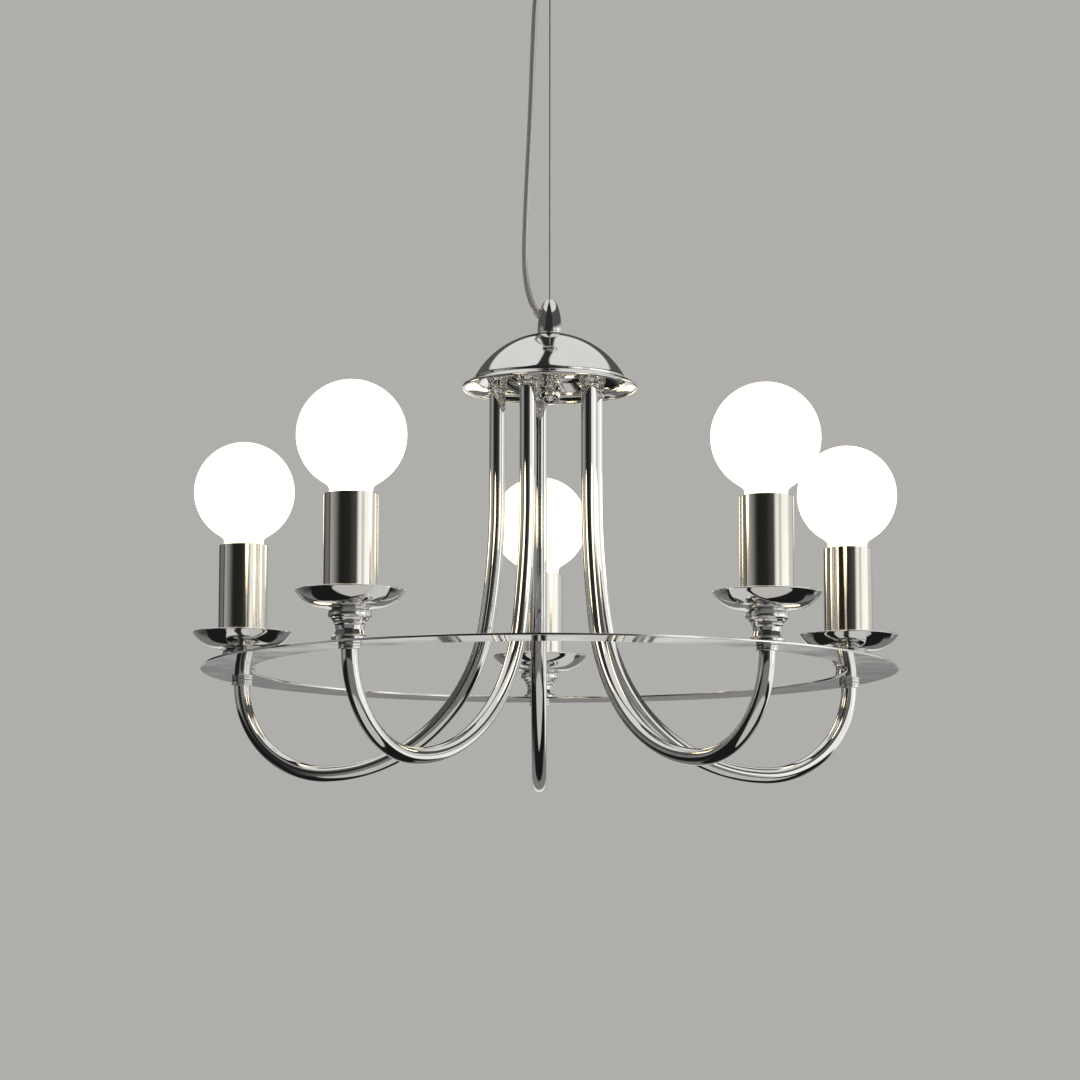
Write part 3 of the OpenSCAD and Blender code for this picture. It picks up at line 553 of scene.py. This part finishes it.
def makeLamps():
    low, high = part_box("lamp_glass_1")
    capLow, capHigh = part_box("lamp_cap_1")
    glass = dict(globeR=0.0475, wall=0.001, neckR=0.0188, joinAngle=-58, mouthDrop=0.0520,
                 joinPull=0.010, mouthPull=0.006, inCap=0.0005)
    globeR = glass["globeR"]
    globeZ = high.z - ringZ - globeR
    baseZ, capZ = low.z - ringZ, capLow.z - ringZ
    capR = (capHigh.x - capLow.x) / 2
    baseR = capR - glass["inCap"]

    def skin(r, neck, base):
        globe = arc(0, globeZ, r, r, 90, glass["joinAngle"], 56)
        join = Vector(globe[-1])
        joinAngle = math.radians(glass["joinAngle"])
        slope = Vector((math.sin(joinAngle), -math.cos(joinAngle)))
        mouth = Vector((neck, globeZ - glass["mouthDrop"]))
        blend = []
        for k in range(1, 11):
            t = k / 10
            p1, p2 = join + slope * glass["joinPull"], mouth + Vector((0, glass["mouthPull"]))
            q = join * (1 - t) ** 3 + p1 * 3 * t * (1 - t) ** 2 + p2 * 3 * t * t * (1 - t) + mouth * t ** 3
            blend.append((q.x, q.y))
        taper = [(neck - 0.0006, mouth.y - 0.004), (base + 0.0022, baseZ + 0.006),
                 (base, baseZ + 0.001), (base, baseZ)]
        return globe + blend + taper

    outer = skin(globeR, glass["neckR"], baseR)
    inner = skin(globeR - glass["wall"], glass["neckR"] - glass["wall"], baseR - glass["wall"])
    outline = outer + list(reversed(inner))
    thread = dict(pitch=0.0036, depth=0.0011, steps=72, rows=110, bottom=0.0052, fade=0.003)
    for number in armNumbers:
        place = armPlace(number, layout["lampCircle"])
        globe = lathe(f"lampGlass{number}", outline, 128, closed=False, sharpAngle=60)
        finishPiece(globe, f"lamp_{number}", opalGlass, [f"lamp_glass_{number}"], place)
        verts, faces = [], []
        rows, steps = thread["rows"], thread["steps"]
        length = capHigh.z - capLow.z - thread["bottom"]
        for k in range(rows + 1):
            z = thread["bottom"] + length * k / rows
            fade = min(1, (z - thread["bottom"]) / thread["fade"],
                       (thread["bottom"] + length - z) / thread["fade"])
            for s in range(steps):
                wave = 0.5 - 0.5 * math.cos(2 * math.pi * (z / thread["pitch"] - s / steps))
                r = capR - thread["depth"] * wave * max(0, fade)
                a = 2 * math.pi * s / steps
                verts.append((r * math.cos(a), r * math.sin(a), capZ + z))
        for k in range(rows):
            for s in range(steps):
                t = (s + 1) % steps
                faces.append((k * steps + s, k * steps + t, (k + 1) * steps + t, (k + 1) * steps + s))
        foot = [(capR - 0.0012, 0.0040), (0.0085, 0.0026), (0.0062, 0.0019), (0.0046, 0.0019),
                (0.0044, 0.0004), (0.0030, 0)]
        ringBelow = list(range(steps))
        for r, z in foot:
            start = len(verts)
            for s in range(steps):
                a = 2 * math.pi * s / steps
                verts.append((r * math.cos(a), r * math.sin(a), capZ + z))
            ringHere = [start + s for s in range(steps)]
            for s in range(steps):
                t = (s + 1) % steps
                faces.append((ringHere[s], ringHere[t], ringBelow[t], ringBelow[s]))
            ringBelow = ringHere
        faces.append(tuple(reversed(ringBelow)))
        faces.append(tuple(rows * steps + s for s in range(steps)))
        cap = meshPiece(f"lampCap{number}", verts, faces, 50)
        finishPiece(cap, f"lamp_{number}", capMetal, [f"lamp_cap_{number}"], place)


makeVases()
makeDishes()
makeCandleSleeves()
makeLamps()
print("lamp stacks made")


def makeDome():
    low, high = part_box("dome")
    dome = dict(creaseR=0.071, brimDrop=0.0094, height=0.0525, wall=0.0012, lipR=0.0015, hole=0.0051)
    brimR, brimZ = (high.x - low.x) / 2, low.z - ringZ
    topZ = brimZ + dome["height"]
    creaseZ = brimZ + dome["brimDrop"]
    rise = topZ - creaseZ
    sphereR = (dome["creaseR"] ** 2 + rise ** 2) / (2 * rise)
    middle = topZ - sphereR

    def shell(shrink):
        # the crown, a short upright step at the crease, then the flare of the brim
        r = sphereR - shrink
        start = math.degrees(math.acos(dome["hole"] / r))
        end = math.degrees(math.acos((dome["creaseR"] - 0.0006) / sphereR))
        crown = arc(0, middle, r, r, start, end, 48)
        wallR, wallZ = dome["creaseR"] - shrink * 0.85, creaseZ - shrink * 0.5
        crown += [(wallR, wallZ - drop) for drop in (0.0001, 0.0003, 0.0018, 0.0020)]
        lipX, lipZ = brimR - dome["lipR"], brimZ + dome["lipR"]
        a = Vector((dome["creaseR"] + 0.0006 - shrink * 0.75, creaseZ - 0.0023 - shrink * 0.5))
        c = Vector((lipX - 0.0012, lipZ + dome["lipR"] + 0.0006 - shrink))
        b = Vector((a.x + (c.x - a.x) * 0.62, a.y - (a.y - c.y) * 0.18 - shrink * 0.2))
        flare = []
        for k in range(13):
            t = k / 12
            q = a * (1 - t) ** 2 + b * 2 * t * (1 - t) + c * t * t
            flare.append((q.x, q.y))
        return crown, flare

    crown, flare = shell(0)
    innerCrown, innerFlare = shell(dome["wall"])
    lip = arc(brimR - dome["lipR"], brimZ + dome["lipR"], dome["lipR"], dome["lipR"], 100, -200, 18)
    outline = crown + flare + lip + list(reversed(innerFlare)) + list(reversed(innerCrown))
    piece = lathe("dome", outline, 192, sharpAngle=55)
    finishPiece(piece, "pendant", polishedChrome, ["dome"],
                Matrix.Translation((0, 0, ringZ)))


def makeBulletCap():
    low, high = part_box("bullet_cap")
    cap = dict(fullHeight=0.0345, bore=0.0051, wireBore=0.0009, foot=0.0016)
    radius, base, tip = (high.x - low.x) / 2, low.z - ringZ, high.z - ringZ
    end = math.degrees(math.asin((tip - base) / cap["fullHeight"]))
    curve = arc(0, base, radius, cap["fullHeight"], 0, end, 40)
    foot = [(cap["bore"], base), (radius - 0.0005, base), (radius, base + 0.0005),
            (radius, base + cap["foot"]), (radius - 0.0003, base + cap["foot"] + 0.0003)]
    crown = [p for p in curve if p[1] > base + cap["foot"] + 0.0004]
    tipR = crown[-1][0]
    nose = [(tipR * 0.92, tip + 0.0002), (tipR * 0.55, tip + 0.0006), (cap["wireBore"], tip + 0.0007),
            (cap["wireBore"], tip - 0.006), (cap["bore"], tip - 0.0065)]
    piece = lathe("bulletCap", soften(foot, 0.0002, 2, closed=False) + crown + nose, 96, sharpAngle=45)
    finishPiece(piece, "pendant", polishedChrome, ["bullet_cap"],
                Matrix.Translation((0, 0, ringZ)))


def makeCordBush():
    bush = dict(x=-0.010, z=0.335, tilt=35, cordR=0.0028, wall=0.0008, flange=0.0044,
                thick=0.0012, length=0.005)
    half, flange = bush["length"] / 2, bush["flange"]
    inner, outer = bush["cordR"], bush["cordR"] + bush["wall"]
    top = half + bush["thick"]
    outline = soften([(inner, -half), (outer, -half), (outer, half, 0), (flange, half, 0.0003),
                      (flange - 0.0003, top, 0.0005), (inner, top, 0.0004)], 0.0003, 4)
    piece = lathe("cordBush", outline, 64)
    place = (Matrix.Translation((bush["x"], 0, ringZ + bush["z"]))
             @ Matrix.Rotation(math.radians(-bush["tilt"]), 4, "Y"))
    finishPiece(piece, "pendant", clearBush, ["cord_bush"], place)


def makeFinial():
    low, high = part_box("finial")
    finial = dict(ballR=0.0112, waist=0.0076, flange=0.0142)
    hubZ, bottom = high.z - ringZ, low.z - ringZ
    ballR = finial["ballR"]
    ballZ = bottom + ballR
    ball = arc(0, ballZ, ballR, ballR, -90, 48, 36)
    neckZ = ball[-1][1]
    turning = [
        (0.0070, neckZ + 0.0004, 0.0004), (0.0070, neckZ + 0.0012, 0.0004), (0.0092, neckZ + 0.0014, 0.0004),
        (0.0100, neckZ + 0.0024, 0.0008), (0.0092, neckZ + 0.0034, 0.0004),
        (finial["waist"], neckZ + 0.0036, 0.0003), (finial["waist"], hubZ - 0.0052, 0.0012),
        (0.0104, hubZ - 0.0040, 0.0005), (0.0112, hubZ - 0.0034, 0.0003),
        (0.0112, hubZ - 0.0028, 0.0003), (finial["flange"] - 0.0006, hubZ - 0.0022, 0.0004),
        (finial["flange"], hubZ - 0.0016, 0.0005), (finial["flange"], hubZ, 0)]
    outline = ball + soften(turning, 0, 4, closed=False) + [(0, hubZ)]
    piece = lathe("finial", outline, 96, closed=False, sharpAngle=45)
    finishPiece(piece, "pendant", turnedChrome, ["finial"],
                Matrix.Translation((0, 0, ringZ)))


def makeHubPlate():
    low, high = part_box("hub_plate")
    radius, base, top = (high.x - low.x) / 2, low.z - ringZ, high.z - ringZ
    outline = soften([(0.0052, base), (radius, base), (radius, top), (0.0052, top)], 0.0006, 4)
    piece = lathe("hubPlate", outline, 128)
    finishPiece(piece, "pendant", polishedChrome, ["hub_plate"],
                Matrix.Translation((0, 0, ringZ)))


makeDome()
makeBulletCap()
makeCordBush()
makeFinial()
makeHubPlate()
print("dome, cap and finial made")


def makeCeilingCup():
    low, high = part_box("ceiling_cup")
    bushLow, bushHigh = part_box("outlet_bush")
    cup = dict(height=0.048, wall=0.0012, holeR=0.01805, bushBore=0.016, bushFlange=0.0025, bushStep=0.002)
    radius, holeR = (high.x - low.x) / 2, cup["holeR"]
    outer = arc(0, 0, radius, cup["height"], -2, -math.degrees(math.acos(holeR / radius)), 40)
    innerR = radius - cup["wall"]
    inner = arc(0, 0, innerR, cup["height"] - cup["wall"], -2, -math.degrees(math.acos(holeR / innerR)), 40)
    rim = [(innerR - 0.0001, 0), (radius - 0.0003, 0), (radius, -0.0004)]
    piece = lathe("ceilingCup", rim + outer + list(reversed(inner)), 160, sharpAngle=50)
    finishPiece(piece, "ceiling", polishedChrome, ["ceiling_cup"])
    outR, bore = (bushHigh.x - bushLow.x) / 2, cup["bushBore"]
    seat, neck = bushLow.z + cup["bushFlange"], bore + cup["bushStep"]
    outline = soften([(bore, bushLow.z), (outR, bushLow.z, 0.0008), (outR, seat, 0.0003),
                      (neck, seat, 0), (neck, bushHigh.z), (bore, bushHigh.z)], 0.0004, 4)
    bush = lathe("outletBush", outline, 96)
    finishPiece(bush, "ceiling", clearBush, ["outlet_bush"])


makeCeilingCup()

# the CAD pieces that stay as they are get their finish here
carried = dict(
    lead_insulation=(leadSilicone, ["arm_leads"]),
    brass_fittings=(turnedBrass, ["threaded_nipples", "stem", "screw_shells", "centre_contacts"]),
    zinc_plated_steel=(zincSteel, ["hexagon_nuts", "upper_pin", "lower_pin", "cup_screws", "hanger_link",
                                   "swivel_eye", "ceiling_bracket"]),
    steel_wire=(wireSteel, ["wire_ends"]),
    holder_ceramic=(holderCeramic, ["lampholders"]),
    terminal_plastic=(terminalPlastic, ["junction_block", "supply_block"]),
)
for material, nodes in carried.values():
    for node in nodes:
        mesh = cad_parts[node].data
        mesh.materials.clear()
        mesh.materials.append(material)
print("ceiling fitting and carried pieces finished")


def makeFloor():
    floor = dict(radius=25, drop=1.25, color=(0.62, 0.62, 0.61))
    outline = [(0, 0), (floor["radius"] * 0.2, 0), (floor["radius"], 0)]
    piece = lathe("studioFloor", outline, 64, closed=False)
    piece.matrix_world = Matrix.Translation((0, 0, cadLow.z - floor["drop"]))
    material, tree, shader = newMaterial("studioFloor")
    shader.inputs["Base Color"].default_value = (*floor["color"], 1)
    shader.inputs["Roughness"].default_value = 0.9
    piece.data.materials.append(material)
    piece.visible_glossy = False


def sums(tree, operation, first, second=None, third=None):
    # one Math node; each term is a socket or a number
    node = tree.nodes.new("ShaderNodeMath")
    node.operation = operation
    for k, term in enumerate((first, second, third)):
        if term is None:
            continue
        if isinstance(term, (int, float)):
            node.inputs[k].default_value = term
        else:
            tree.links.new(term, node.inputs[k])
    return node.outputs[0]


def easeIn(tree, value, start, end):
    node = tree.nodes.new("ShaderNodeMapRange")
    node.interpolation_type = "SMOOTHSTEP"
    node.inputs["From Min"].default_value = start
    node.inputs["From Max"].default_value = end
    tree.links.new(value, node.inputs["Value"])
    return node.outputs["Result"]


def blendColors(tree, factor, first, second):
    node = tree.nodes.new("ShaderNodeMix")
    node.data_type = "RGBA"
    tree.links.new(factor, node.inputs["Factor"])
    for socket, term in (("A", first), ("B", second)):
        if isinstance(term, tuple):
            node.inputs[socket].default_value = (*term, 1)
        else:
            tree.links.new(term, node.inputs[socket])
    return node.outputs["Result"]


def makeWorld():
    # a pale room: level strips of light and dark all round, two wide softboxes above with a dark gap
    # between them, a dark band above and below eye level, a pale floor; the eye sees plain grey
    room = dict(
        backdrop=(0.43, 0.425, 0.41),
        softbox=(0.80, 0.79, 0.77), gap=(0.03, 0.03, 0.03), upperBand=(0.09, 0.088, 0.085),
        lowerBand=(0.21, 0.205, 0.2), dark=(0.012, 0.012, 0.012), sideLight=(1.0, 0.99, 0.96),
        ground=(0.58, 0.56, 0.53), backStrip=(0.78, 0.77, 0.75),
        # share of a full turn, starting behind the lamp and going to its right, and the brightness there
        strips=[(0.0, 0.42), (0.10, 0.42), (0.12, 0.66), (0.20, 0.75), (0.235, 1.3), (0.32, 1.2),
                (0.335, 0.72), (0.355, 0.72), (0.37, 1.15), (0.395, 1.05), (0.425, 0.08), (0.51, 0.02),
                (0.61, 0.015), (0.635, 0.05), (0.66, 0.16), (0.73, 0.42), (0.755, 0.40), (0.763, 0.05),
                (0.775, 0.05), (0.783, 0.20), (0.855, 0.17), (0.885, 0.03), (0.91, 0.03), (0.93, 0.42),
                (1.0, 0.42)],
    )
    world = bpy.data.worlds.new("studioRoom")
    bpy.context.scene.world = world
    world.use_nodes = True
    tree = world.node_tree
    tree.nodes.clear()
    coords = tree.nodes.new("ShaderNodeTexCoord")
    split = tree.nodes.new("ShaderNodeSeparateXYZ")
    tree.links.new(coords.outputs["Generated"], split.inputs["Vector"])
    x, y, z = split.outputs["X"], split.outputs["Y"], split.outputs["Z"]
    turn = sums(tree, "DIVIDE", sums(tree, "ARCTAN2", x, y), 2 * math.pi)
    ramp = tree.nodes.new("ShaderNodeValToRGB")
    elements = ramp.color_ramp.elements
    for element, (position, value) in zip(elements, (room["strips"][0], room["strips"][-1])):
        element.position = position
        element.color = (value, value, value * 0.98, 1)
    for position, value in room["strips"][1:-1]:
        elements.new(position).color = (value, value, value * 0.98, 1)
    tree.links.new(sums(tree, "FRACT", sums(tree, "ADD", turn, 1.0)), ramp.inputs["Fac"])

    # the gap runs from front to back over the lamp, wide in front and narrow overhead
    front = sums(tree, "MAXIMUM", sums(tree, "MULTIPLY", y, -1.0), 0.0)
    sideways = sums(tree, "ABSOLUTE", sums(tree, "MULTIPLY_ADD", front, 0.28, sums(tree, "ADD", x, 0.02)))
    width = sums(tree, "MULTIPLY_ADD", sums(tree, "POWER", front, 3.0), 1.1, 0.05)
    clear = easeIn(tree, sums(tree, "SUBTRACT", sideways, width), 0.0, 0.03)
    above = blendColors(tree, clear, room["gap"], room["softbox"])
    level = blendColors(tree, easeIn(tree, z, 0.22, 0.31), ramp.outputs["Color"],
                        blendColors(tree, clear, room["gap"], room["upperBand"]))
    upper = blendColors(tree, easeIn(tree, z, 0.57, 0.62), level, above)

    # below eye level: dark on the left, a tall light on the right, a lit patch of floor under and in front
    left = blendColors(tree, easeIn(tree, x, -0.8, -0.5), room["dark"], room["lowerBand"])
    right = blendColors(tree, easeIn(tree, z, -0.44, -0.36), room["dark"], room["sideLight"])
    sides = blendColors(tree, easeIn(tree, x, 0.55, 0.68), left, right)
    low = blendColors(tree, easeIn(tree, z, -0.09, -0.05), sides, upper)
    down = sums(tree, "MULTIPLY", z, -1.0)
    slant = sums(tree, "MULTIPLY_ADD", sums(tree, "MAXIMUM", x, 0.0), -0.5, sums(tree, "MINIMUM", x, 0.0))
    reach = sums(tree, "MULTIPLY_ADD", down, 0.25, sums(tree, "SUBTRACT", slant, y))
    floorLight = blendColors(tree, easeIn(tree, reach, 0.0, 0.05), room["dark"], room["ground"])
    lower = blendColors(tree, easeIn(tree, down, 0.60, 0.66), low, floorLight)
    # a bright strip low behind the lamp, seen in the ring and the hub plate from below
    lowBehind = sums(tree, "MULTIPLY", easeIn(tree, down, 0.102, 0.107), easeIn(tree, y, 0.93, 0.96))
    whole = blendColors(tree, lowBehind, lower, room["backStrip"])
    lit = tree.nodes.new("ShaderNodeBackground")
    tree.links.new(whole, lit.inputs["Color"])
    seen = tree.nodes.new("ShaderNodeBackground")
    seen.inputs["Color"].default_value = (*room["backdrop"], 1)
    path = tree.nodes.new("ShaderNodeLightPath")
    choose = tree.nodes.new("ShaderNodeMixShader")
    tree.links.new(path.outputs["Is Camera Ray"], choose.inputs["Fac"])
    tree.links.new(lit.outputs["Background"], choose.inputs[1])
    tree.links.new(seen.outputs["Background"], choose.inputs[2])
    out = tree.nodes.new("ShaderNodeOutputWorld")
    tree.links.new(choose.outputs["Shader"], out.inputs["Surface"])


makeFloor()
makeWorld()
bpy.context.scene.view_settings.view_transform = "Standard"
print("studio made")
